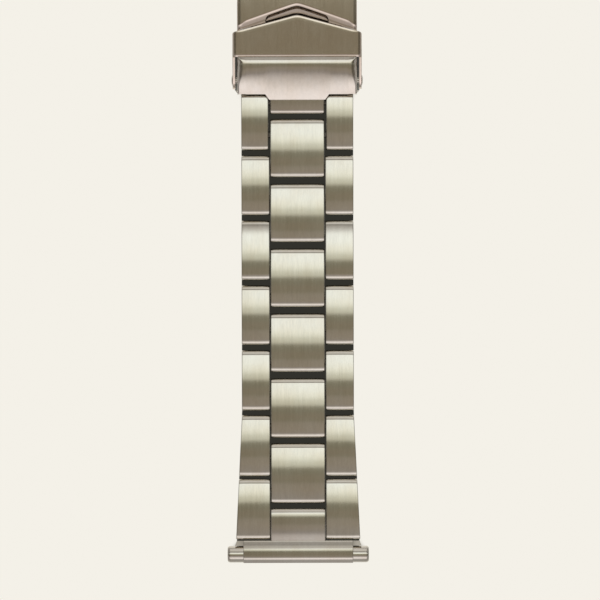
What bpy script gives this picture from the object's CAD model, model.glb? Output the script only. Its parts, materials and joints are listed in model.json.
"""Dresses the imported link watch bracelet: brushed steel pieces over the CAD frame, light and camera.

Pieces are drawn in millimetres in the row frame: +Y runs up the bracelet and +Z leaves the wrist.
"""

import json
import math

import bmesh
import bpy
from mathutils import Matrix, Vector
from mathutils.geometry import tessellate_polygon

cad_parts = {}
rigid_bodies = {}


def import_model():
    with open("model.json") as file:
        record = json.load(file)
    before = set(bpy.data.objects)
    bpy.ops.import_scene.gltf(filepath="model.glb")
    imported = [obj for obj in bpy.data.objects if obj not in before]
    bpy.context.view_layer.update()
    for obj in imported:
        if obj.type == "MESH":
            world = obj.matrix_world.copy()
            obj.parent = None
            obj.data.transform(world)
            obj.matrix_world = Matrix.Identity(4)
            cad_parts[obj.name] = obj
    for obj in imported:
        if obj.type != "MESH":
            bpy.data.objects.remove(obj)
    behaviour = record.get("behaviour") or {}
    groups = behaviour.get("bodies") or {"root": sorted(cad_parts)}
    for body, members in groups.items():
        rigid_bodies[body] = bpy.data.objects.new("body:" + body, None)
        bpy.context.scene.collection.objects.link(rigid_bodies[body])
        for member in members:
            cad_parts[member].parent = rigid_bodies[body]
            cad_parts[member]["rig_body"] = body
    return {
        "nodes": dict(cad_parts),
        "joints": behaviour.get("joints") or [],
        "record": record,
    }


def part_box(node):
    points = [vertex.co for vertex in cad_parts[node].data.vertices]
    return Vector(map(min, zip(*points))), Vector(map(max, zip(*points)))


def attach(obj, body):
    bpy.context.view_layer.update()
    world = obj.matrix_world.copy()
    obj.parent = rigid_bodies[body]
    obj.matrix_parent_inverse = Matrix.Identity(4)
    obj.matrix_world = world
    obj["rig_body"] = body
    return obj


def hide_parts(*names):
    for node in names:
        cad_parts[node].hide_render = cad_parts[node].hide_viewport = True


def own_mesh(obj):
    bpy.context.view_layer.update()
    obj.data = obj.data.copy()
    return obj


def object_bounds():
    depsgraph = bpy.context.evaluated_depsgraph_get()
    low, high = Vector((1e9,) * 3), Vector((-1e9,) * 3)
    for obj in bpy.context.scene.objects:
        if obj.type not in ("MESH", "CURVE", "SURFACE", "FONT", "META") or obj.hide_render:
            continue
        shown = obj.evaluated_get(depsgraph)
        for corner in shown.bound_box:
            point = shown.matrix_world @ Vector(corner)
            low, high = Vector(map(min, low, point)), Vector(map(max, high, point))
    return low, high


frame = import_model()
cad_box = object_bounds()

MM = 0.001
SLOTS = {s["node"]: s["material_slot"] for s in frame["record"]["subparts"]}
JOINTS = {j["name"]: Vector(j["pos_m"]) / MM for j in frame["joints"] if j["type"] == "hinge"}
FIRST_PIN_Y = JOINTS["lower_hinge_0"].y
PIN_Z = JOINTS["lower_hinge_0"].z
LOWER_PAIRS = 7
UPPER_PAIRS = 4
SIDES = (("left", -1), ("right", 1))

# Pins: their radius, the holes that they turn in and are fixed in, and where a profile meets its axis
PIN_R = 0.5
PIN_HOLE_R = 0.53
FIXED_HOLE_R = 0.51
AXIS_R = 0.0005
PIN_RECESS = 0.15
PIN_EDGE = 0.08

# Links: the dome's radius, then the radii along Y and Z of the rims towards the clasp and the watch
DOME_R = 23.0
NEAR_RIM = (0.95, 0.95)
FAR_RIM = (1.1, 0.62)
FOOT_ROUND = 0.35
SIDE_ROUND = 0.12
# How far a soft face falls away towards its sides, over what width
SOFT_DROP = 0.045
SOFT_EDGE = 1.5
SOFT_STEPS = 6
# The first lower side links end here, measured from their pin, over a shelf that runs under the lip
FIRST_LINK_TOP = 1.46
SHELF_LOW_Z = 0.4
SHELF_TOP_Z = 1.9
SHELF_W = 4.0
# The photographed columns lie closer together, and some links reach a little further than the solids
SIDE_INWARD = 0.165
CENTRE_INWARD = 0.065
NEAR_REACH = 0.08
SIDE_REACH = {5: (0.12, NEAR_REACH), 6: (0.27, NEAR_REACH), 7: (0.0, 0.25)}
CENTRE_REACH = {5: (0.14, NEAR_REACH), 6: (0.25, NEAR_REACH)}
# How far each lower link lies tilted towards the clasp, in degrees
SIDE_LEAN = {1: 3.0, 2: 0.8, 3: -3.6, 4: 0.4, 5: -0.2, 6: 1.2, 7: 1.7}
CENTRE_LEAN = {1: 0.1, 2: -0.4, 3: 0.5, 4: -0.5, 5: 0.4, 6: 1.6}


def box(node):
    """Lowest and highest corner of a CAD node, in millimetres."""
    low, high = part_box(node)
    return low / MM, high / MM


# Outlines in the (y, z) plane

def spaced(start, end, steps):
    """Values from start to end in equal steps, both ends among them."""
    return [start + (end - start) * i / steps for i in range(steps + 1)]


def quarter(steps):
    """Angles from 0 to a right angle in equal steps, in radians."""
    return spaced(0.0, math.pi / 2, steps)


def arc(y, z, r, start, end, steps):
    """Points on an arc, with angles in degrees from +y towards +z."""
    angles = [math.radians(a) for a in spaced(start, end, steps)]
    return [(y + r * math.cos(a), z + r * math.sin(a)) for a in angles]


def ellipse(edge_y, z, turn, size, way, steps):
    """Elliptical rounding about height z, from the angle turn to its upright end at edge_y."""
    wide, tall = size
    return [(edge_y - way * wide * (1 - math.sin(t)), z + tall * math.cos(t))
            for t in spaced(turn, math.pi / 2, steps)]


def rim(edge_y, crown, base, size, way):
    """Elliptical rounding that leaves the dome smoothly and ends upright at edge_y."""
    wide, tall = size
    turn = 0.0
    for _ in range(12):
        y = edge_y - way * wide * (1 - math.sin(turn))
        turn = math.atan(wide / tall * math.tan(math.asin((y - crown) * way / DOME_R)))
    z = base + math.sqrt(DOME_R ** 2 - (y - crown) ** 2) - tall * math.cos(turn)
    return ellipse(edge_y, z, turn, size, way, 20)


def link_outline(y0, y1, top, low_rim, high_rim, lean=0.0, reach=(0.0, 0.0)):
    """Domed link from y0 to y1, with the (y, z) radii of its two rims, which reach past y0 and y1."""
    crown = (y0 - reach[0] + y1 + reach[1]) / 2 + DOME_R * math.sin(math.radians(lean))
    base = top - DOME_R
    low = rim(y0 - reach[0], crown, base, low_rim, -1)
    high = rim(y1 + reach[1], crown, base, high_rim, 1)
    a0, a1 = (math.degrees(math.atan2(z - base, y - crown)) for y, z in (low[0], high[0]))
    return (arc(y0 + FOOT_ROUND, FOOT_ROUND, FOOT_ROUND, 180, 270, 6)
            + arc(y1 - FOOT_ROUND, FOOT_ROUND, FOOT_ROUND, -90, 0, 6)
            + high[::-1] + arc(crown, base, DOME_R, a1, a0, 48)[1:-1] + low)


def leaning_path(knots, z, step=0.1):
    """Points of a face that starts at height z, from knots of (y, lean).

    The lean is how many degrees the face's normal leans towards +Y.
    """
    path = [(knots[0][0], z)]
    for (ya, lean_a), (yb, lean_b) in zip(knots, knots[1:]):
        count = max(2, round(abs(yb - ya) / step))
        for i in range(count):
            lean = math.radians(lean_a + (lean_b - lean_a) * (i + 0.5) / count)
            z -= (yb - ya) / count * math.tan(lean)
            path.append((ya + (yb - ya) * (i + 1) / count, z))
    return path


def height(path, y):
    """Height at y of a path whose points fall in y."""
    for (ya, za), (yb, zb) in zip(path, path[1:]):
        if yb <= y <= ya:
            return za + (zb - za) * (ya - y) / max(ya - yb, 1e-9)
    return path[-1][1] if y < path[-1][0] else path[0][1]


def smooth(low, high, value):
    """0 below low, 1 above high and an even curve between."""
    t = min(1.0, max(0.0, (value - low) / (high - low)))
    return t * t * (3 - 2 * t)


def normals(points, closed=True):
    """Outward normals of an outline drawn anticlockwise."""
    out = []
    n = len(points)
    for i in range(n):
        a = points[i - 1] if closed or i else points[i]
        b = points[(i + 1) % n] if closed or i < n - 1 else points[i]
        d = Vector((b[0] - a[0], b[1] - a[1]))
        d = d.normalized() if d.length > 1e-9 else Vector((1, 0))
        out.append((d.y, -d.x))
    return out


def mirror(points):
    """Mirror image of (x, y) points, or of a profile's (x, r) points, in their order."""
    return [(-x, v) for x, v in points]


def at_lower_pin(outline):
    """A (y, z) outline whose y is measured from the first lower pin, in the row frame."""
    return [(FIRST_PIN_Y + y, z) for y, z in outline]


def at_lower_pin_plan(outline):
    """The same for an (x, y) outline."""
    return [(x, FIRST_PIN_Y + y) for x, y in outline]


def pin_holes(pins, r=PIN_HOLE_R):
    """Holes of radius r at the places of pins, for a prism along X."""
    return [(p.y, p.z, r) for p in pins]


# Solids

# Faces that meet at a sharper angle than this, in degrees, keep a crisp edge between them
SHARP_ANGLE = 34
# Points closer than WELD are joined and edges shorter than THIN are dropped, in metres
WELD = 2e-7
THIN = 1e-8
HOLE_SEGMENTS = 28


def as_function(value):
    """A function of the place along an outline, from such a function or a constant."""
    return value if callable(value) else lambda u: value


class Shape:
    """Points and faces of one piece, in millimetres."""

    def __init__(self):
        self.points = []
        self.faces = []

    def add(self, points):
        """Adds points and returns their indices."""
        start = len(self.points)
        self.points.extend(Vector(p) for p in points)
        return list(range(start, len(self.points)))

    def bridge(self, a, b):
        """Joins two loops of equally many points with a band of faces."""
        n = len(a)
        self.faces.extend((a[i], a[(i + 1) % n], b[(i + 1) % n], b[i]) for i in range(n))

    def cap(self, loops):
        """Fills the first loop, with the others as holes in it."""
        flat_loops = [i for loop in loops for i in loop]
        for tri in tessellate_polygon([[self.points[i] for i in loop] for loop in loops]):
            self.faces.append(tuple(flat_loops[i] for i in tri))

    def loft(self, rings, hole_pairs=()):
        """Closed solid through rings of equally many points, with straight holes from end to end."""
        loops = [self.add(ring) for ring in rings]
        for a, b in zip(loops, loops[1:]):
            self.bridge(a, b)
        holes = [(self.add(first), self.add(last)) for first, last in hole_pairs]
        self.cap([loops[0]] + [h[0] for h in holes])
        self.cap([loops[-1]] + [h[1] for h in holes])
        for first, last in holes:
            self.bridge(first, last)

    def loft_across(self, ring, stations):
        """Loft of ring(x, drop) from side to side, given (x, drop) from the middle to the right."""
        left = [ring(-x, drop) for x, drop in stations[::-1]]
        self.loft(left + [ring(x, drop) for x, drop in stations[1:]])

    def prism(self, outline, low, high, edge, steps=4, holes=(), along="x", keep=(),
              rounded=(True, True), soft=False):
        """Outline extruded between its side faces low(u) and high(u), whose edges are rounded.

        The outline is in (y, z) for along="x", and in (x, y) for along="z". Points in keep don't
        move inwards at the rounded edges. With soft, the faces also fall away towards both sides.
        """
        low_at, high_at, edge_at = as_function(low), as_function(high), as_function(edge)
        area = sum(a[0] * b[1] - b[0] * a[1] for a, b in zip(outline, outline[1:] + outline[:1]))
        if area < 0:
            outline = outline[::-1]
        out = normals(outline)

        def place(u, v, w):
            return (w, u, v) if along == "x" else (u, v, w)

        def ring(side_at, sign, angle, scale, fall=0.0, reach=0.0):
            points = []
            for (u, v), (nu, nv) in zip(outline, out):
                size = edge_at(u) * scale
                inset = 0 if (u, v) in keep else size * (1 - math.sin(angle)) + fall
                depth = size * (1 - math.cos(angle)) + reach
                u, v = u - nu * inset, v - nv * inset
                points.append(place(u, v, side_at(u) + sign * depth))
            return points

        turns = quarter(steps)
        drop = SOFT_DROP if soft else 0.0
        first = [ring(low_at, 1, a, rounded[0], drop) for a in (turns if rounded[0] else turns[:1])]
        last = [ring(high_at, -1, a, rounded[1], drop) for a in (turns[::-1] if rounded[1] else turns[:1])]
        if soft:
            for i in range(1, SOFT_STEPS + 1):
                fall = drop * (1 - i / SOFT_STEPS) ** 2
                reach = SOFT_EDGE * i / SOFT_STEPS
                first.append(ring(low_at, 1, turns[-1], rounded[0], fall, reach))
                last.insert(0, ring(high_at, -1, turns[-1], rounded[1], fall, reach))
        pairs = []
        for u, v, r in holes:
            circle = arc(u, v, r, 0, 360, HOLE_SEGMENTS)[:-1]
            pairs.append(([place(p, q, low_at(p)) for p, q in circle],
                          [place(p, q, high_at(p)) for p, q in circle]))
        self.loft(first + last, pairs)

    def side_prism(self, outline, sign, inner, outer, edge, rounded=(True, True), **options):
        """Prism along X from inner to outer on the right for sign 1, and its mirror image for -1."""
        if sign > 0:
            self.prism(outline, inner, outer, edge, rounded=rounded, **options)
            return
        inside, outside = as_function(inner), as_function(outer)
        self.prism(outline, lambda u: -outside(u), lambda u: -inside(u), edge,
                   rounded=rounded[::-1], **options)

    def lathe(self, profile, y, z, segments=72):
        """Closed profile of (x, r) turned about the line along X through (y, z)."""
        loops = []
        for i in range(segments):
            a = 2 * math.pi * i / segments
            loops.append(self.add([(x, y + r * math.cos(a), z + r * math.sin(a)) for x, r in profile]))
        for a, b in zip(loops, loops[1:] + loops[:1]):
            self.bridge(a, b)

    def pin(self, end, y, z, segments):
        """Pin turned about the line along X, with the profile of its right-hand end on both sides."""
        self.lathe(mirror(end[::-1]) + end, y, z, segments)


def piece(name, shape, node, material=None):
    """A mesh object from a shape, which stands for a CAD node and rides on its body."""
    mesh = bpy.data.meshes.new(name)
    mesh.from_pydata([p * MM for p in shape.points], [], shape.faces)
    bm = bmesh.new()
    bm.from_mesh(mesh)
    bmesh.ops.remove_doubles(bm, verts=bm.verts, dist=WELD)
    bmesh.ops.dissolve_degenerate(bm, edges=bm.edges, dist=THIN)
    bmesh.ops.recalc_face_normals(bm, faces=bm.faces)
    bm.to_mesh(mesh)
    bm.free()
    mesh.shade_smooth()
    mesh.set_sharp_from_angle(angle=math.radians(SHARP_ANGLE))
    brush_uv(mesh)
    mesh.materials.append(MATERIALS[material or SLOTS[node]])
    obj = bpy.data.objects.new(name, mesh)
    bpy.context.scene.collection.objects.link(obj)
    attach(obj, frame["nodes"][node]["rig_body"])
    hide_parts(node)
    return obj


def brush_uv(mesh):
    """UV map whose V runs along the brushing, which the anisotropic gloss follows."""
    layer = mesh.uv_layers.new(name="brush")
    for face in mesh.polygons:
        nx, ny, nz = (abs(c) for c in face.normal)
        for loop in face.loop_indices:
            x, y, z = mesh.vertices[mesh.loops[loop].vertex_index].co / MM
            if nz >= max(nx, ny):
                layer.data[loop].uv = (x, y)
            elif nx >= ny:
                layer.data[loop].uv = (z, y)
            else:
                layer.data[loop].uv = (x, z)


# Materials

def new_material(name):
    """A material with its node tree and shader."""
    material = bpy.data.materials.new(name)
    material.use_nodes = True
    tree = material.node_tree
    return material, tree, tree.nodes["Principled BSDF"]


def feed(tree, value, socket):
    """Gives an input another node's output, or a plain value."""
    if isinstance(value, bpy.types.NodeSocket):
        tree.links.new(value, socket)
    else:
        socket.default_value = value


def set_up(tree, node, **settings):
    """Gives a node its settings by name, and its inputs values or other nodes' outputs."""
    for key, value in settings.items():
        if hasattr(node, key):
            setattr(node, key, value)
        else:
            feed(tree, value, node.inputs[key])
    return node


def add_node(tree, kind, **settings):
    """New node of a kind, set up as given."""
    return set_up(tree, tree.nodes.new(kind), **settings)


def math_node(tree, operation, *values):
    """Math node over outputs and numbers. Returns its output."""
    node = add_node(tree, "ShaderNodeMath", operation=operation)
    for value, socket in zip(values, node.inputs):
        feed(tree, value, socket)
    return node.outputs[0]


def xyz(tree, vector):
    """Outputs with the X, Y and Z of a vector output."""
    return add_node(tree, "ShaderNodeSeparateXYZ", Vector=vector).outputs


def mix_colours(tree, factor, first, second, blend="MIX"):
    """Mix of two colours, of which each can be an output or a plain value. Returns its output."""
    return add_node(tree, "ShaderNodeMix", data_type="RGBA", blend_type=blend, Factor=factor,
                    A=first, B=second).outputs["Result"]


def noise(tree, coords, scale, detail=3.0, roughness=0.55):
    """Noise with its own scale in each direction, in cycles per metre. Returns its value socket."""
    place = add_node(tree, "ShaderNodeMapping", Scale=scale, Vector=coords).outputs["Vector"]
    return add_node(tree, "ShaderNodeTexNoise", Scale=1.0, Detail=detail, Roughness=roughness,
                    Vector=place).outputs["Fac"]


def ramp(tree, source, stops):
    """Colour ramp over a socket, from (position, colour) stops."""
    node = add_node(tree, "ShaderNodeValToRGB", Fac=source)
    elements = node.color_ramp.elements
    while len(elements) > 1:
        elements.remove(elements[-1])
    elements[0].position = stops[0][0]
    elements[0].color = (*stops[0][1], 1)
    for position, colour in stops[1:]:
        elements.new(position).color = (*colour, 1)
    return node.outputs["Color"]


def map_range(tree, source, low, high, from_low=0.0, from_high=1.0):
    """The source with its range from_low to from_high brought to low to high."""
    ends = {"From Min": from_low, "From Max": from_high, "To Min": low, "To Max": high}
    return add_node(tree, "ShaderNodeMapRange", Value=source, **ends).outputs["Result"]


# The two noises that make the brushing lines add up to a value in this range, mostly
LINES_LOW = 0.7
LINES_HIGH = 1.3
STAIN = (0.93, 0.89, 0.84)
WHITE = (1.0, 1.0, 1.0)


def brushed_steel(name, colour, rough, streaks, brushed):
    """Steel with fine lines along Y, soft stains and slight unevenness."""
    material, tree, shader = new_material(name)
    coords = add_node(tree, "ShaderNodeTexCoord").outputs["Object"]
    fine = noise(tree, coords, (9000, 260, 9000), detail=4.0)
    broad = noise(tree, coords, (2200, 90, 2200))
    stain = noise(tree, coords, (260, 210, 260), detail=4.0, roughness=0.6)

    lines = math_node(tree, "ADD", fine, broad)
    dark = tuple(c * (1 - 0.07 * streaks) for c in colour)
    light = tuple(min(1.0, c * (1 + 0.05 * streaks)) for c in colour)
    tint = ramp(tree, map_range(tree, lines, 0.0, 1.0, LINES_LOW, LINES_HIGH), [(0.0, dark), (1.0, light)])
    stained = mix_colours(tree, 0.55, tint, ramp(tree, stain, [(0.38, STAIN), (0.62, WHITE)]), "MULTIPLY")
    gloss = map_range(tree, lines, rough * 0.85, rough * 1.2, LINES_LOW, LINES_HIGH)
    bump = add_node(tree, "ShaderNodeBump", Strength=0.12 * streaks, Distance=0.00001, Height=lines)
    set_up(tree, shader, Metallic=1.0, Roughness=gloss, Normal=bump.outputs["Normal"],
           **{"Base Color": stained})
    if brushed:
        tangent = add_node(tree, "ShaderNodeTangent", direction_type="UV_MAP", uv_map="brush")
        set_up(tree, shader, Anisotropic=0.85, Tangent=tangent.outputs["Tangent"])
    return material


# Colour, roughness, strength of the lines, and whether the gloss follows the brushing
STEELS = {
    "link_steel": ((0.78, 0.755, 0.70), 0.14, 1.0, True),
    "clasp_steel": ((0.78, 0.74, 0.69), 0.18, 1.0, True),
    "plate_steel": ((0.82, 0.735, 0.665), 0.18, 0.6, True),
    "end_steel": ((0.77, 0.74, 0.69), 0.17, 0.8, True),
    "blade_steel": ((0.66, 0.64, 0.60), 0.3, 1.0, False),
    "pin_steel": ((0.20, 0.19, 0.175), 0.45, 1.0, False),
    "spring_steel": ((0.45, 0.44, 0.42), 0.3, 1.0, False),
}
MATERIALS = {name: brushed_steel(name, *look) for name, look in STEELS.items()}


# Links and pins

def flared_edge(half, pairs):
    """The chain's half width as a function of y, which flares along the last two rows."""
    down = half == "lower"
    straight_x = box(f"{half}_side_right_1")[1].x
    start_y = box(f"{half}_side_right_{pairs - 1}")[down].y
    last = box(f"{half}_side_right_{pairs}")
    end_x, end_y = last[1].x, last[not down].y

    def outer(y):
        return straight_x + (end_x - straight_x) * max(0.0, (start_y - y) / (start_y - end_y))

    return outer


def rims(half):
    """The rims at the low and at the high end of a link."""
    return (FAR_RIM, NEAR_RIM) if half == "lower" else (NEAR_RIM, FAR_RIM)


def pins_from(half, n):
    """Pin n of one half, counted from the clasp, and the pin after it."""
    return [JOINTS[f"{half}_hinge_{i}"] for i in (n, n + 1)]


def side_links(half, k, outer):
    """The left and right side links of row k."""
    down = half == "lower"
    low, high = box(f"{half}_side_right_{k}")
    lean = SIDE_LEAN[k] if down else 0.0
    reach = SIDE_REACH.get(k, (0.0, NEAR_REACH)) if down and k > 1 else (0.0, 0.0)
    top_y = FIRST_PIN_Y + FIRST_LINK_TOP if down and k == 1 else high.y
    inner = low.x - (SIDE_INWARD if k > 1 else 0.0)
    outline = link_outline(low.y, top_y, high.z, *rims(half), lean, reach)
    holes = pin_holes(pins_from(half, 2 * k - 2))
    shelf = [(top_y - 0.5, SHELF_LOW_Z), (high.y, SHELF_LOW_Z), (high.y, SHELF_TOP_Z - 0.2),
             (high.y - 0.2, SHELF_TOP_Z), (top_y - 0.5, SHELF_TOP_Z)]
    for side, sign in SIDES:
        shape = Shape()
        shape.side_prism(outline, sign, inner, outer, SIDE_ROUND, holes=holes, soft=True)
        if top_y < high.y:
            shape.side_prism(shelf, sign, inner, inner + SHELF_W, 0.1, steps=2)
        piece(f"{half}_side_{side}_{k}_steel", shape, f"{half}_side_{side}_{k}")


def link_pins(half, k, outer):
    """Both pins of row k, as one piece."""
    shape = Shape()
    for p in pins_from(half, 2 * k - 2):
        end_x = outer(p.y) - PIN_RECESS
        shape.pin([(end_x - PIN_EDGE, PIN_R), (end_x, PIN_R - PIN_EDGE), (end_x, AXIS_R)], p.y, p.z, 32)
    piece(f"{half}_pins_{k}_steel", shape, f"{half}_pins_{k}")


def centre_link(half, k):
    """The centre link between rows k and k + 1."""
    down = half == "lower"
    low, high = box(f"{half}_centre_{k}")
    lean = CENTRE_LEAN[k] if down else 0.0
    reach = CENTRE_REACH.get(k, (0.0, NEAR_REACH)) if down else (0.0, 0.0)
    shape = Shape()
    shape.prism(link_outline(low.y, high.y, high.z, *rims(half), lean, reach),
                low.x + CENTRE_INWARD, high.x - CENTRE_INWARD, SIDE_ROUND,
                holes=pin_holes(pins_from(half, 2 * k - 1)), soft=True)
    piece(f"{half}_centre_{k}_steel", shape, f"{half}_centre_{k}")


def chain(half, pairs):
    """Side links, centre links and pins of one half of the bracelet."""
    outer = flared_edge(half, pairs)
    for k in range(1, pairs + 1):
        side_links(half, k, outer)
        link_pins(half, k, outer)
        if k < pairs:
            centre_link(half, k)


# Watch ends: y here is measured from the spring bar's axis towards the clasp

SHOULDER_EDGE = [(2.08, 21), (1.75, 20.2), (1.55, 19.6), (1.38, 21), (1.0, 24.5), (0.95, 24.5),
                 (0.93, 6.5), (0.76, 4.5), (0.61, 2.2), (0.5, 0.3), (0.4, -1.0), (0.2, -2.2),
                 (-0.1, -4), (-0.33, -6.5), (-0.42, -11), (-0.5, -17), (-0.62, -24),
                 (-0.74, -29), (-0.86, -37), (-1.0, -41), (-1.33, -43)]
SHOULDER_Z = 2.5
SHOULDER_Y = 2.12
TONGUE_FACE = [(6.35, 9), (6.2, 3.5), (5.95, 0.8), (5.6, -1.8), (5.3, -3), (4.6, -5.5), (4.0, -8.5),
               (3.4, -12.2), (2.95, -15.4), (2.5, -16.6), (1.95, -16)]
TONGUE_Z = 2.985
TONGUE_REACH = 2.41
TONGUE_ROUND = 0.8
TONGUE_EDGE = 0.16
ROLL_R = 1.5
BORE_R = 1.32
CAP_BORE_R = 0.95
CAP_SHOW = 2.45
# Small tabs beside the roll, which narrow towards the watch
TAB_REACH = 1.0
TAB_TAPER = 0.4


def roll_half(half):
    """Half length of the roll between the telescoping caps."""
    return -box(f"{half}_cap_left")[0].x - CAP_SHOW


def bar_place(half):
    """Row y of the spring bar's axis."""
    low, high = box(f"{half}_cap_left")
    return (low.y + high.y) / 2


def watch_end(half, last_pin):
    """Tongue, shoulder, roll and tabs of a watch end piece."""
    node = f"{half}_end_piece"
    bar_y = bar_place(half)
    way = 1 if half == "lower" else -1
    roll_end = roll_half(half)
    tongue_half = box(f"{half}_centre_1")[1].x
    tip = abs(last_pin.y - bar_y) + TONGUE_REACH
    shape = Shape()

    def at_bar(outline):
        return [(bar_y + way * y, z) for y, z in outline]

    def tab_end(y):
        return roll_end + TAB_REACH + TAB_TAPER * (SHOULDER_Y - (y - bar_y) * way)

    tongue = ([(1.38, 1.0), (1.2, 0.3), (1.3, 0.0)]
              + arc(tip - FOOT_ROUND, FOOT_ROUND, FOOT_ROUND, -90, 0, 5)
              + arc(tip - TONGUE_ROUND, 2.19, TONGUE_ROUND, 0, 80, 12)
              + leaning_path(TONGUE_FACE, TONGUE_Z)[1:] + [(1.5, 2.2), (1.38, 2.0)])
    shape.prism(at_bar(tongue), -tongue_half, tongue_half, TONGUE_EDGE, holes=pin_holes([last_pin]))

    shoulder = ([(SHOULDER_Y, 2.05), (2.14, 2.42)] + leaning_path(SHOULDER_EDGE, SHOULDER_Z)
                + [(-1.36, 1.9), (-1.38, 1.5)] + arc(0, ROLL_R, ROLL_R, 205, 320, 20)
                + [(1.45, 1.72), (1.8, 1.9)])
    shape.prism(at_bar(shoulder), -roll_end, roll_end, 0.1, steps=3, holes=[(bar_y, ROLL_R, BORE_R)])

    tab = at_bar([(1.36, 1.75), (SHOULDER_Y, 1.75), (SHOULDER_Y, 2.05), (1.36, 2.32)])
    for sign in (1, -1):
        shape.side_prism(tab, sign, roll_end - 0.3, tab_end, 0.08, steps=2, rounded=(False, True))
    piece(f"{node}_steel", shape, node)


def end_caps(half):
    """The telescoping caps of one end, with rounded outer rims."""
    wide, tall, chamfer = 0.5, 0.34, 0.06
    for side, sign in SIDES:
        low, high = box(f"{half}_cap_{side}")
        start, end = (low.x, high.x) if sign > 0 else (high.x, low.x)
        cap_r = (high.z - low.z) / 2
        edge = [(end - sign * (wide - wide * math.sin(a)), cap_r - tall * (1 - math.cos(a)))
                for a in quarter(8)]
        shape = Shape()
        shape.lathe([(start, CAP_BORE_R), (start, cap_r - chamfer), (start + sign * chamfer, cap_r)]
                    + edge + [(end - sign * 0.05, CAP_BORE_R)], bar_place(half), ROLL_R)
        piece(f"{half}_cap_{side}_steel", shape, f"{half}_cap_{side}")


WIRE_R = 0.12
SPRING_TURNS = 7


def end_springs(half):
    """The coil in a roll, as two halves that shorten towards the middle when their caps slide in."""
    node = f"{half}_end_spring"
    low, high = box(node)
    centre = (low + high) / 2
    coil_r = (high.z - low.z) / 2 - WIRE_R
    reach = high.x - WIRE_R
    steps = 12 * SPRING_TURNS
    wire = [2 * math.pi * i / 8 for i in range(8)]
    for side, sign in SIDES:
        rings = []
        for i in range(steps + 1):
            turn = sign * math.pi * SPRING_TURNS * i / steps
            x = sign * reach * i / steps
            section = [(x + WIRE_R * math.sin(a), coil_r + WIRE_R * math.cos(a)) for a in wire]
            rings.append([(u, centre.y + r * math.cos(turn), centre.z + r * math.sin(turn))
                          for u, r in section])
        shape = Shape()
        shape.loft(rings)
        obj = piece(f"{half}_end_spring_{side}", shape, node)
        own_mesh(obj)


# Clasp: from here on y is measured from the first lower pin, unless it is a box's or a joint's

HUMP_FACE = [(6.88, 18.2), (6.54, 18.8), (6.48, 11), (6.15, 6), (5.96, 0.4),
             (5.84, -2.5), (5.5, -7), (4.73, -14.5), (3.96, -18.5), (3.35, -21), (2.74, -23), (2.13, -25),
             (1.52, -26.5), (0.91, -27.5), (0.3, -28.5)]
HUMP_T = 0.5
# The hump's rounded side block: its width, its overlap with the sheet, its reach past the ears
HUMP_SIDE = 1.3
OVERLAP = 0.0005
HUMP_OUT = 0.13
SWELL = 0.12
SWELL_X = 8.0
EAR_T = 0.5
# The lip's edge over the tongue and over the side links, and the two corners of the step between them
LIP_Y = 0.24
LIP_SHOULDER_Y = 1.1
LIP_FOOT_X = 4.35
LIP_CORNER_X = 4.97
LIP_SPLIT_Y = 2.0
LIP_ROUND = 0.1
TONGUE_TIP_Y = -1.82
TONGUE_TIP = (0.9, 0.52)
TONGUE_TIP_LEAN = 10.5
BLOCK_Y = 2.4
BLADE_T = 0.8


def hump_path(crest):
    """Outer face of the hump, from behind its crest to the lip, with its top at height crest."""
    path = leaning_path(HUMP_FACE, 0.0)
    lift = crest - max(z for y, z in path)
    return [(y, z + lift) for y, z in path]


def hump_swell(x, y):
    """How much higher the hump's face lies near its sides than in the middle."""
    return SWELL * smooth(3.5, SWELL_X, abs(x)) * smooth(5.9, 3.7, y) * smooth(1.4, 3.7, y)


def lip(x):
    """Front edge of the hump at x."""
    share = min(1.0, max(0.0, (abs(x) - LIP_FOOT_X) / (LIP_CORNER_X - LIP_FOOT_X)))
    return LIP_Y + (LIP_SHOULDER_Y - LIP_Y) * share


def hump_ring(x, face, rear):
    """Section of the hump's sheet at x, with a rounded lip."""
    front = lip(x) + LIP_ROUND
    outer = [(rear, 3.0), (rear, face[0][1] - 0.1)] + [p for p in face if p[0] > LIP_SPLIT_Y]
    outer += [(y, height(face, y)) for y in spaced(LIP_SPLIT_Y, front, 14)]
    outer = [(y, z + hump_swell(x, y)) for y, z in outer]
    across = normals(outer, closed=False)
    inner = [(y - ny * HUMP_T, z - nz * HUMP_T) for (y, z), (ny, nz) in zip(outer, across)]
    (y, z), (ny, nz) = outer[-1], across[-1]
    turn = math.degrees(math.atan2(nz, ny))
    edge = arc(y - ny * LIP_ROUND, z - nz * LIP_ROUND, LIP_ROUND, turn, turn + 90, 5)[1:]
    return [(x, FIRST_PIN_Y + p, q) for p, q in outer + edge + inner[::-1]]


def hump_side_round(y):
    """Rounding of the hump's side edges at row y, widest over the crest."""
    y -= FIRST_PIN_Y
    return 0.34 + 0.7 * smooth(6.95, 5.9, y) * smooth(2.2, 5.0, y)


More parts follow.
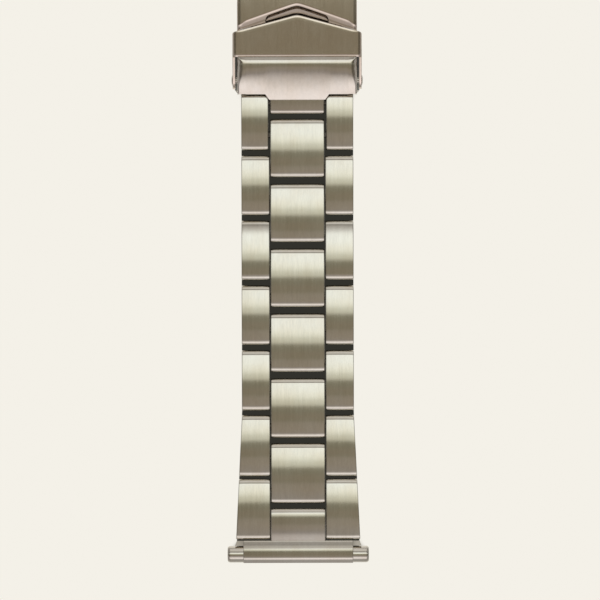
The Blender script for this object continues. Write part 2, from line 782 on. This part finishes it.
def hump_sides(shape, face, rear, side_x, foot_z, lock):
    """Rounded side blocks of the hump, its ears with the lock pin's holes, and the lock's stops."""
    block_top = [p for p in face if p[0] > LIP_SPLIT_Y]
    block_top += [(y, height(face, y)) for y in [LIP_SPLIT_Y - 0.1 * i for i in range(9)]]
    under = [(y, height(face, y) - HUMP_T) for y in (LIP_SHOULDER_Y + 0.05, 1.6, 2.0)]
    under += [(2.3, height(face, 2.3) - 1.5), (5.6, height(face, 5.6) - 1.5), (rear, 3.2)]
    ear = ([(2.04, 1.5), (2.54, foot_z + 1.0), (6.6, foot_z + 1.0), (rear - 0.02, 1.5), (rear - 0.02, 3.4)]
           + [(y, height(face, y) - 1.2) for y in (5.6, 4.6, 3.6, 2.8, 2.4)]
           + [(2.04, height(face, 2.04) - 0.4)])
    stop = [(side_x - 0.4, 1.3), (side_x - 0.25, 1.25), (side_x + 0.26, 1.6), (side_x + 0.3, 1.82),
            (side_x - 0.4, 1.82)]
    for sign in (-1, 1):
        shape.side_prism(at_lower_pin(block_top + under), sign, side_x - HUMP_SIDE - OVERLAP, side_x,
                         hump_side_round, steps=8, keep=set(at_lower_pin(under)), rounded=(False, True))
        shape.side_prism(at_lower_pin(ear), sign, side_x - EAR_T, side_x - 0.02, 0.06, steps=2,
                         holes=pin_holes([lock], FIXED_HOLE_R))
        shape.prism(at_lower_pin_plan([(sign * x, y) for x, y in stop]), 1.4, 3.1, 0.1, steps=3,
                    along="z")


def clasp_tongue(shape, face, lock):
    """Solid tongue under the hump, which ends in the first link's pin hole and an elliptical tip."""
    tongue_half = box("lower_centre_1")[1].x - 0.05
    top = leaning_path([(LIP_Y + 0.6, -6), (LIP_Y, -6.5), (-0.5, -8), (-1.2, -TONGUE_TIP_LEAN)], 2.99)
    wide, tall = TONGUE_TIP
    turn = math.atan(wide / tall * math.tan(math.radians(TONGUE_TIP_LEAN)))
    tip = ellipse(TONGUE_TIP_Y, top[-1][1] - tall * math.cos(turn), turn, TONGUE_TIP, -1, 14)
    inside = [(BLOCK_Y, BLADE_T), (6.0, BLADE_T), (6.0, 4.4)]
    inside += [(y, height(face, y) - 0.25) for y in (5.4, 4.6, 3.8, 3.0, 2.2, 1.5, 1.0)]
    tongue = (arc(TONGUE_TIP_Y + FOOT_ROUND, FOOT_ROUND, FOOT_ROUND, 180, 270, 5) + [(BLOCK_Y, 0.0)]
              + inside + top + tip)
    shape.prism(at_lower_pin(tongue), -tongue_half, tongue_half, TONGUE_EDGE,
                holes=[(FIRST_PIN_Y, PIN_Z, PIN_HOLE_R)] + pin_holes([lock], FIXED_HOLE_R))


def clasp_end_piece():
    """Humped sheet with its rounded sides, ears, stops and solid tongue."""
    node = "clasp_end_piece"
    low, high = box(node)
    lock = JOINTS["lock_swing"]
    face = hump_path(high.z)
    rear = face[0][0] + 0.01
    side_x = high.x + HUMP_OUT
    stations = [HUMP_SIDE - side_x, -5.2, -5.02, -LIP_CORNER_X, -4.9, -4.7, -4.5, -4.42, -LIP_FOOT_X,
                -4.28, -4.1, 0]
    stations += [-x for x in stations[-2::-1]]
    side_face = [(y, z + hump_swell(SWELL_X, y)) for y, z in face]
    shape = Shape()
    shape.loft([hump_ring(x, face, rear) for x in stations])
    hump_sides(shape, side_face, rear, side_x, low.z, lock)
    clasp_tongue(shape, side_face, lock)
    piece("clasp_end_piece_steel", shape, node)


# Front edge of the lock plate, as (y, z) from its straight edge's place and height
LOCK_FRONT = [(0, -0.38), (0.01, -0.24), (0.04, -0.165), (0.12, -0.125), (0.28, -0.045), (0.37, -0.02)]


def safety_lock():
    """Bent plate with a chevron edge, rounded down at both sides, and two arms."""
    node = "safety_lock"
    low, high = box(node)
    hinge = JOINTS["lock_swing"]
    hinge_y = hinge.y - FIRST_PIN_Y
    edge_y, edge_z, corner_y, apex_y = 6.9, 4.97, 10.74, 13.43
    rise = math.tan(math.radians(4.3))
    sheet_t, side_r, apex_r, corner_w = 0.42, 0.7, 2.8, 0.35
    half = high.x
    slope = math.atan2(apex_y - corner_y, half)

    def chevron(x):
        """Edge of the plate, with its top and its corners rounded."""
        if abs(x) < apex_r * math.sin(slope):
            return apex_y - apex_r / math.cos(slope) + math.sqrt(apex_r ** 2 - x ** 2)
        y = apex_y - abs(x) * math.tan(slope)
        corner = max(0.0, abs(x) - (half - corner_w)) / corner_w
        return y - 0.3 * (1 - math.sqrt(max(0.0, 1 - corner ** 2)))

    def ring(x, drop):
        """Section of the plate at x, whose outer face lies lower by drop."""
        end = chevron(x)
        edge_r = 0.1
        at_side = smooth(8.8, 9.2, abs(x))
        front = [(edge_y + y, edge_z + z) for y, z in LOCK_FRONT]
        face = [(y, edge_z - 0.02 + (y - edge_y - 0.4) * rise)
                for y in spaced(edge_y + 0.5, end - 0.36, 10)]
        z_end = edge_z - 0.05 + 0.03 * at_side + (end - edge_y - 0.3) * rise
        back = arc(end - edge_r, z_end - edge_r, edge_r, 78 + 16 * at_side, 0, 6)
        bottom = [(end, z_end - sheet_t), (edge_y + 0.02, edge_z - sheet_t)]
        return ([(x, FIRST_PIN_Y + y, z - drop) for y, z in front + face + back]
                + [(x, FIRST_PIN_Y + y, z - drop * 0.6) for y, z in bottom])

    sides = [(half - side_r + side_r * math.sin(a), side_r * (1 - math.cos(a))) for a in quarter(8)]
    flats = [((half - side_r) * i / 24, 0.0) for i in range(24)]
    shape = Shape()
    shape.loft_across(ring, flats + sides)

    top = leaning_path([(edge_y + 0.05, -24), (hinge_y + 0.5, -25), (hinge_y - 0.5, -30),
                        (hinge_y - 0.95, -42), (hinge_y - 1.2, -62)], edge_z - 0.3)
    arm = ([(10.0, low.z), (corner_y - 0.35, low.z + 1.3), (corner_y - 0.32, edge_z - 0.4),
            (edge_y + 0.03, edge_z - 0.45)] + [(y, z) for y, z in top if y < edge_y]
           + arc(hinge_y, hinge.z, hinge.z - low.z, 205, 270, 10))
    for sign in (-1, 1):
        shape.side_prism(at_lower_pin(arm), sign, half - sheet_t - 0.01, half - 0.01, 0.07, steps=3,
                         holes=pin_holes([hinge]))
    piece("safety_lock_steel", shape, node, "plate_steel")


def lock_pin():
    """The lock's pin, with a low domed head at each end."""
    low, high = box("lock_pin")
    hinge = JOINTS["lock_swing"]
    head_t, head_r = 0.15, (high.z - low.z) / 2
    dome = [(high.x - head_t + head_t * math.sin(a), head_r * math.cos(a)) for a in quarter(8)]
    shape = Shape()
    shape.pin([(high.x - head_t, PIN_R)] + dome[:-1] + [(high.x, AXIS_R)], hinge.y, hinge.z, 40)
    piece("lock_pin_steel", shape, "lock_pin", "blade_steel")


# Clasp cover

COVER_LOW, COVER_HIGH = box("clasp_cover")
COVER_HALF = COVER_HIGH.x
COVER_END_Y = COVER_HIGH.y - FIRST_PIN_Y
COVER_T = 0.6
WALL_T = 0.5
COVER_ROUND = 0.75
ARCH_R = 200.0
NOSE_Z = 3.7
# The lock's chevron edge, which the cover's front follows at a small gap
CHEVRON_CORNER_Y = 10.85
CHEVRON_HALF = 10.05
CHEVRON_APEX_Y = 13.57
FRONT_GAP = 0.08
ARCH_Y = (CHEVRON_CORNER_Y + COVER_END_Y) / 2
# The ridge, with its front edge as steps forwards and down from its top, and the band before it
RIDGE_Y = 15.2
RIDGE_SLOPE = math.radians(19.5)
RIDGE_EDGE = [(0.0, 0.005), (0.04, 0.02), (0.14, 0.072), (0.26, 0.133), (0.32, 0.155)]
RIDGE_WIDE, RIDGE_DROP = RIDGE_EDGE[-1]
BAND_LEAN = math.radians(17)
BAND_LEAST = 0.1
# The chevron slot in the band, with round ends
SLOT_HALF = 4.9
SLOT_WALL = 0.4
SLOT_DROP = 0.65
SLOT_END = 0.6
ADJUSTER_STEP = 2.5


def cover_arch(y):
    """Height of the cover's top at y."""
    return COVER_HIGH.z - ARCH_R + math.sqrt(ARCH_R ** 2 - (y - ARCH_Y) ** 2)


def ridge_line(x):
    """Top of the ridge at x, blunt in the middle and bent forwards near the sides."""
    soft = math.sqrt(x * x + 0.25) - 0.5
    bend = 0.3 * smooth(COVER_HALF - 1.5, COVER_HALF - 0.4, abs(x))
    return RIDGE_Y - soft * math.tan(RIDGE_SLOPE) - bend


def cover_front(x):
    """Front edge of the cover at x."""
    slope = (CHEVRON_APEX_Y - CHEVRON_CORNER_Y) / CHEVRON_HALF
    return CHEVRON_APEX_Y - 0.07 - math.sqrt(x * x + 0.16) * slope + FRONT_GAP


def slot_place(x, start, end):
    """Where the slot's rear wall lies at x, between the ridge at start and the front, and its depth."""
    past = max(0.0, abs(x) - (SLOT_HALF - SLOT_END)) / SLOT_END
    if past >= 1.0:
        return max(start - SLOT_WALL - SLOT_END, end + 0.16), 0.0
    wall_y = start - SLOT_WALL - SLOT_END * (1 - math.sqrt(max(0.0, 1 - past * past)))
    depth = SLOT_DROP if wall_y > end + BAND_LEAST else 0.0
    return max(wall_y, end + BAND_LEAST), depth


def cover_ring(x, drop):
    """Section of the cover at x: top, ridge, band, slot and inner face. The outside lies drop lower."""
    start, end = ridge_line(x), cover_front(x)
    top_z = cover_arch(start)
    wall_y, depth = slot_place(x, start, end)
    foot_y = max(wall_y - 0.4, end + 0.04)

    def band(y):
        return top_z - RIDGE_DROP - (start - RIDGE_WIDE - y) * math.tan(BAND_LEAN)

    rear = start + 0.06
    outer = [(y, cover_arch(y)) for y in [rear + (COVER_END_Y - rear) * (1 - i / 30) ** 1.5
                                          for i in range(31)]]
    outer += [(start - forwards, top_z - down) for forwards, down in RIDGE_EDGE]
    outer += [(y, band(y)) for y in [wall_y + (start - RIDGE_WIDE - wall_y) * s for s in (0.66, 0.33, 0.0)]]
    outer += [((wall_y + foot_y) / 2, band(wall_y) - depth * 0.55), (foot_y, band(foot_y) - depth)]
    outer += [(y, band(y) - depth) for y in [foot_y + (end - foot_y) * s for s in (0.33, 0.66, 1.0)]]
    inner = [(end, NOSE_Z), (RIDGE_Y - 0.15, NOSE_Z)]
    inner += [(y, cover_arch(y) - COVER_T) for y in (RIDGE_Y, 20, 25, 30, 35, COVER_END_Y)]
    return ([(x, FIRST_PIN_Y + y, z - drop) for y, z in outer]
            + [(x, FIRST_PIN_Y + y, z) for y, z in inner])


def cover_stations():
    """Places (x, drop) of the cover's sections from the middle to the right, dense at the slot's end."""
    bend = leaning_path([(COVER_HALF, -80), (COVER_HALF - 0.07, -52), (COVER_HALF - 0.14, -34),
                         (COVER_HALF - COVER_ROUND, 0)], 0.0, 0.03)
    sides = [(x, z - bend[-1][1]) for x, z in bend[::-1]]
    slot_end = [SLOT_HALF - back for back in (SLOT_END, 0.5, 0.35, 0.2, 0.1, 0.04, 0.0, -0.01)]
    flats = [i * 0.2 for i in range(21)] + slot_end + [SLOT_HALF + 0.3 * i for i in range(1, 13)]
    return [(x, 0.0) for x in sorted(set(flats)) if x < COVER_HALF - COVER_ROUND - 0.05] + sides


def clasp_cover():
    """Pressed cover: arched top, ridge, band and chevron slot, with rounded sides and holed walls."""
    bar = JOINTS["adjuster_hinge"]
    shape = Shape()
    shape.loft_across(cover_ring, cover_stations())
    holes = pin_holes([JOINTS["clasp_fold"]], FIXED_HOLE_R)
    holes += [(bar.y + ADJUSTER_STEP * n, bar.z, FIXED_HOLE_R) for n in (-1, 0, 1)]
    low_z, front_y = COVER_LOW.z, CHEVRON_CORNER_Y + 0.1
    wall = [(front_y, 2.0), (CHEVRON_CORNER_Y + 1.1, low_z), (COVER_END_Y - 0.6, low_z),
            (COVER_END_Y, low_z + 0.6)]
    wall_top = [(y, cover_arch(y) - COVER_T) for y in (COVER_END_Y, 35, 30, 25, 20, 15)]
    wall_top += [(front_y, cover_arch(12) - 0.8)]
    for sign in (-1, 1):
        shape.side_prism(at_lower_pin(wall + wall_top), sign, COVER_HALF - WALL_T, COVER_HALF - 0.002,
                         0.1, steps=3, holes=holes, keep=set(at_lower_pin(wall_top)))
    piece("clasp_cover_steel", shape, "clasp_cover", "plate_steel")


def clasp_link():
    """Wide link on the adjuster bar, with a domed tongue for the first upper pin."""
    node = "clasp_link"
    high = box(node)[1]
    bar, pin = JOINTS["adjuster_hinge"], JOINTS["upper_hinge_0"]
    barrel_r, bar_hole_r, edge = 1.28, 0.78, 0.15
    wide_y, shoulder_z = pin.y - 2.12, 2.55
    shape = Shape()
    body = (arc(bar.y, bar.z, barrel_r, 80, 270, 24) + [(wide_y, FOOT_ROUND), (wide_y, shoulder_z)]
            + arc(wide_y - FOOT_ROUND, shoulder_z, FOOT_ROUND, 0, 70, 5))
    shape.prism(body, -high.x, high.x, edge, holes=pin_holes([bar], bar_hole_r))
    half = box("upper_centre_1")[1].x
    shape.prism(link_outline(wide_y - 1, high.y, 2.98, (FOOT_ROUND, FOOT_ROUND), FAR_RIM), -half, half,
                edge, holes=pin_holes([pin]))
    piece("clasp_link_steel", shape, node)


def plain_nodes():
    """The blades and bars keep their solids' meshes, with steel and slightly bevelled edges."""
    for node in ("inner_blade", "outer_blade", "cover_hinge_pin", "blade_hinge_pin", "adjuster_bar"):
        obj = frame["nodes"][node]
        obj.data.materials.clear()
        obj.data.materials.append(MATERIALS[SLOTS[node]])
        soften = obj.modifiers.new("edges", "BEVEL")
        soften.width = 0.07 * MM
        soften.segments = 2
        soften.limit_method = "ANGLE"
        soften.angle_limit = math.radians(40)


# Studio

FLOOR_Z = -36.0
BACKGROUND = (0.905, 0.877, 0.807)
# Light along the great arc over the bracelet: degrees from overhead towards +Y, and colour
LIGHT_ARC = [(-90, (0.38, 0.36, 0.34)), (-74, (0.42, 0.40, 0.38)), (-66, (0.68, 0.64, 0.62)),
             (-60, (1.05, 0.98, 0.96)), (-54, (1.12, 1.05, 1.03)), (-48, (0.92, 0.86, 0.83)),
             (-41, (0.71, 0.66, 0.63)), (-33, (0.50, 0.46, 0.43)), (-27, (0.31, 0.28, 0.25)),
             (-18, (0.315, 0.275, 0.22)), (-13.5, (0.30, 0.265, 0.21)), (-12, (0.245, 0.22, 0.16)),
             (-8.6, (0.256, 0.222, 0.163)), (-4, (0.235, 0.22, 0.16)), (-1.4, (0.27, 0.255, 0.19)),
             (0.9, (0.66, 0.65, 0.53)), (4, (0.73, 0.73, 0.61)), (6, (0.91, 0.915, 0.79)),
             (9, (1.03, 1.04, 0.93)), (14, (1.07, 1.10, 1.035)), (20.5, (1.08, 1.11, 1.055)),
             (24.5, (0.60, 0.58, 0.54)), (28, (0.32, 0.30, 0.27)), (36, (0.30, 0.285, 0.26)),
             (42, (0.55, 0.53, 0.48)), (52, (0.68, 0.66, 0.61)), (80, (0.66, 0.63, 0.59)),
             (90, (0.44, 0.42, 0.39))]
# Share of that light by the sideways part of its direction, and the most that a share may be
LIGHT_SIDE = [(-1.0, 0.6), (-0.85, 0.42), (-0.58, 0.38), (-0.42, 0.6), (-0.3, 0.95), (0.0, 1.0),
              (0.12, 1.05), (0.3, 1.04), (0.42, 0.65), (0.58, 0.38), (0.85, 0.42), (1.0, 0.6)]
LIGHT_SIDE_MOST = 1.1
# Share of the background that metal sees in the floor, by millimetres from the bracelet
FLOOR_SHARE = [(0, 1.0), (30, 0.85), (70, 0.45), (150, 0.40)]


def studio():
    """World that lights the bracelet from all around, by LIGHT_ARC and LIGHT_SIDE."""
    world = bpy.data.worlds.new("studio")
    bpy.context.scene.world = world
    world.use_nodes = True
    tree = world.node_tree
    direction = xyz(tree, add_node(tree, "ShaderNodeTexCoord").outputs["Generated"])
    angle = math_node(tree, "ARCTAN2", direction["Y"], direction["Z"])
    place = map_range(tree, angle, 0.0, 1.0, -math.pi / 2, math.pi / 2)
    colour = ramp(tree, place, [((a + 90) / 180, c) for a, c in LIGHT_ARC])
    sideways = map_range(tree, direction["X"], 0.0, 1.0, -1.0, 1.0)
    share = ramp(tree, sideways, [((x + 1) / 2, (s / LIGHT_SIDE_MOST,) * 3) for x, s in LIGHT_SIDE])
    set_up(tree, tree.nodes["Background"], Color=colour,
           Strength=math_node(tree, "MULTIPLY", share, LIGHT_SIDE_MOST))


def shown_ray(tree):
    """1 for camera, glossy and transmission rays."""
    rays = add_node(tree, "ShaderNodeLightPath").outputs
    first = math_node(tree, "MAXIMUM", rays["Is Camera Ray"], rays["Is Glossy Ray"])
    return math_node(tree, "MAXIMUM", first, rays["Is Transmission Ray"])


def flat(name, outline, z, material, body=None):
    """A flat stage face at height z, from its (x, y) outline in millimetres, which may ride on a body."""
    mesh = bpy.data.meshes.new(name)
    mesh.from_pydata([(x * MM, y * MM, z * MM) for x, y in outline], [], [tuple(range(len(outline)))])
    mesh.materials.append(material)
    obj = bpy.data.objects.new(name, mesh)
    bpy.context.scene.collection.objects.link(obj)
    if body:
        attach(obj, body)


def floor():
    """Pale floor, low enough for the bracelet to curl over it, which looks dim far away in metal."""
    material, tree, shader = new_material("floor")
    set_up(tree, shader, Roughness=0.9, **{"Base Color": (*BACKGROUND, 1)})
    place = xyz(tree, add_node(tree, "ShaderNodeTexCoord").outputs["Object"])
    past_end = math_node(tree, "SUBTRACT", math_node(tree, "ABSOLUTE", place["Y"]), cad_box[1].y)
    past_end = math_node(tree, "MAXIMUM", past_end, 0.0)
    squares = [math_node(tree, "MULTIPLY", v, v) for v in (past_end, place["X"])]
    away = math_node(tree, "POWER", math_node(tree, "ADD", *squares), 0.5)
    far = FLOOR_SHARE[-1][0]
    seen = ramp(tree, map_range(tree, away, 0.0, 1.0, 0.0, far * MM),
                [(d / far, tuple(s * c for c in BACKGROUND)) for d, s in FLOOR_SHARE])
    camera_ray = add_node(tree, "ShaderNodeLightPath").outputs["Is Camera Ray"]
    glow = add_node(tree, "ShaderNodeEmission",
                    Color=mix_colours(tree, camera_ray, seen, (*BACKGROUND, 1)))
    mix = add_node(tree, "ShaderNodeMixShader", Fac=shown_ray(tree))
    tree.links.new(shader.outputs["BSDF"], mix.inputs[1])
    tree.links.new(glow.outputs["Emission"], mix.inputs[2])
    set_up(tree, tree.nodes["Material Output"], Surface=mix.outputs["Shader"])
    half = 4000
    flat("floor", [(-half, -half), (half, -half), (half, half), (-half, half)], FLOOR_Z, material)


# Contact shadows: clear cards under the bracelet that ride with it and darken only while level

CARD_Z = -0.04
CARD_REACH = 17.0
CARD_END = 9.0
# Neighbouring rows' cards meet this far past a link's end
CARD_STEP = 0.3
ROLL_CARD = 0.7
# A card counts as level while its normal's Z is above this and its height is off by less, in metres
LEVEL_LEAST = 0.9995
LIFT_MOST = 0.0004
# How far around it a card looks for what shuts out the light, in metres
SHADOW_REACH = 0.012
HALF_SHADE = (0.25, 0.25, 0.24)
FULL_SHADE = (0.036, 0.036, 0.032)
GAP_SHADE = (0.14, 0.14, 0.13)
# The lower chain's cards begin at the lip, the arms' side cards end where the lock's plate starts
CHAIN_CARD_Y = 1.25
ARM_CARD_Y = 7.2


def level_share(tree):
    """1 where a card lies level on the surface under the bracelet, and 0 where its body has left it."""
    place = add_node(tree, "ShaderNodeNewGeometry").outputs
    facing = math_node(tree, "ABSOLUTE", xyz(tree, place["Normal"])["Z"])
    upright = math_node(tree, "GREATER_THAN", facing, LEVEL_LEAST)
    lift = math_node(tree, "SUBTRACT", xyz(tree, place["Position"])["Z"], CARD_Z * MM)
    down = math_node(tree, "LESS_THAN", math_node(tree, "ABSOLUTE", lift), LIFT_MOST)
    return math_node(tree, "MULTIPLY", upright, down)


def shadow_material(name, dark, clear, deepest, palest=WHITE):
    """Clear face that only darkens where the bracelet shuts out more than its share of the light."""
    material, tree, shader = new_material(name)
    tree.nodes.remove(shader)
    near = add_node(tree, "ShaderNodeAmbientOcclusion", samples=16, Distance=SHADOW_REACH)
    shade = ramp(tree, near.outputs["AO"], [(dark, deepest), (clear, palest)])
    share = math_node(tree, "MULTIPLY", shown_ray(tree), level_share(tree))
    glass = add_node(tree, "ShaderNodeBsdfTransparent",
                     Color=mix_colours(tree, share, (*WHITE, 1), shade))
    set_up(tree, tree.nodes["Material Output"], Surface=glass.outputs["BSDF"])
    return material


def cards(node, edge, under, beside):
    """Card under a node's body inside its right-hand edge path, and one on each side of it."""
    body = frame["nodes"][node]["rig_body"]
    flat(f"{node}_shadow", edge + mirror(edge[::-1]), CARD_Z, under, body)
    strip = edge + [(CARD_REACH, edge[-1][1]), (CARD_REACH, edge[0][1])]
    flat(f"{node}_shadow_right", strip, CARD_Z, beside, body)
    flat(f"{node}_shadow_left", mirror(strip), CARD_Z, beside, body)


def chain_cards(half, pairs, start, deep, soft):
    """Cards under the link pairs and the watch end of one half, from start near the clasp outwards."""
    down = half == "lower"
    way = -1 if down else 1
    outer = flared_edge(half, pairs)
    last = box(f"{half}_side_right_{pairs}")
    tip_x, foot = last[1].x, last[not down].y
    for k in range(1, pairs + 1):
        end = box(f"{half}_side_right_{k}")[not down].y
        end += 0 if k == pairs else CARD_STEP * way
        cards(f"{half}_side_right_{k}", [(outer(start), start), (outer(end), end)], deep, soft)
        start = end
    roll = roll_half(half) + TAB_REACH
    node = f"{half}_end_piece"
    near, far = foot + way * ROLL_CARD, foot + way * CARD_END
    cards(node, [(tip_x, foot), (roll, foot), (roll, near)], deep, soft)
    ends = [(-CARD_REACH, near), (CARD_REACH, near), (CARD_REACH, far), (-CARD_REACH, far)]
    flat(f"{half}_end_shadow", ends, CARD_Z, soft, frame["nodes"][node]["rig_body"])


def contact_shadows():
    """Shadow on the surface that the bracelet lies on: soft around it, and deep under its gaps."""
    soft = shadow_material("soft_shadow", 0.2, 0.42, HALF_SHADE)
    deep = shadow_material("deep_shadow", 0.6, 0.9, FULL_SHADE, HALF_SHADE)
    in_gap = shadow_material("arm_gap_shadow", 0.3, 0.55, GAP_SHADE)
    chain_cards("lower", LOWER_PAIRS, FIRST_PIN_Y + CHAIN_CARD_Y, deep, soft)
    chain_cards("upper", UPPER_PAIRS, COVER_HIGH.y, deep, soft)
    arms = at_lower_pin_plan([(8.6, CHAIN_CARD_Y), (9.0, 1.35), (9.8, 1.9), (9.8, ARM_CARD_Y)])
    cards("clasp_end_piece", arms, soft, soft)
    lock_body = frame["nodes"]["safety_lock"]["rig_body"]
    gap = at_lower_pin_plan([(9.15, 1.9), (9.72, 1.9), (9.72, ARM_CARD_Y), (9.15, ARM_CARD_Y)])
    flat("arm_gap_shadow_right", gap, CARD_Z + 0.01, in_gap, lock_body)
    flat("arm_gap_shadow_left", mirror(gap), CARD_Z + 0.01, in_gap, lock_body)
    front = FIRST_PIN_Y + ARM_CARD_Y
    cards("clasp_cover", [(COVER_HALF, front), (COVER_HALF, COVER_HIGH.y)], soft, soft)


def camera():
    """Straight down on the lower half, at the photograph's framing."""
    distance, width, top_z = 800.0, 93.31, 3.0
    aim_x, aim_y, roll = 0.362, FIRST_PIN_Y - 30.81, -0.14
    data = bpy.data.cameras.new("camera")
    data.lens = data.sensor_width * distance / width
    data.clip_end = 20
    obj = bpy.data.objects.new("camera", data)
    obj.location = Vector((aim_x, aim_y, top_z + distance)) * MM
    obj.rotation_euler.z = math.radians(roll)
    bpy.context.scene.collection.objects.link(obj)
    bpy.context.scene.camera = obj


chain("lower", LOWER_PAIRS)
chain("upper", UPPER_PAIRS)
end_springs("lower")
end_springs("upper")
for watch_half, pair_count in (("lower", LOWER_PAIRS), ("upper", UPPER_PAIRS)):
    watch_end(watch_half, JOINTS[f"{watch_half}_hinge_{2 * pair_count - 1}"])
    end_caps(watch_half)
clasp_end_piece()
safety_lock()
lock_pin()
clasp_cover()
clasp_link()
plain_nodes()
studio()
floor()
contact_shadows()
camera()
bpy.context.scene.view_settings.view_transform = "Standard"
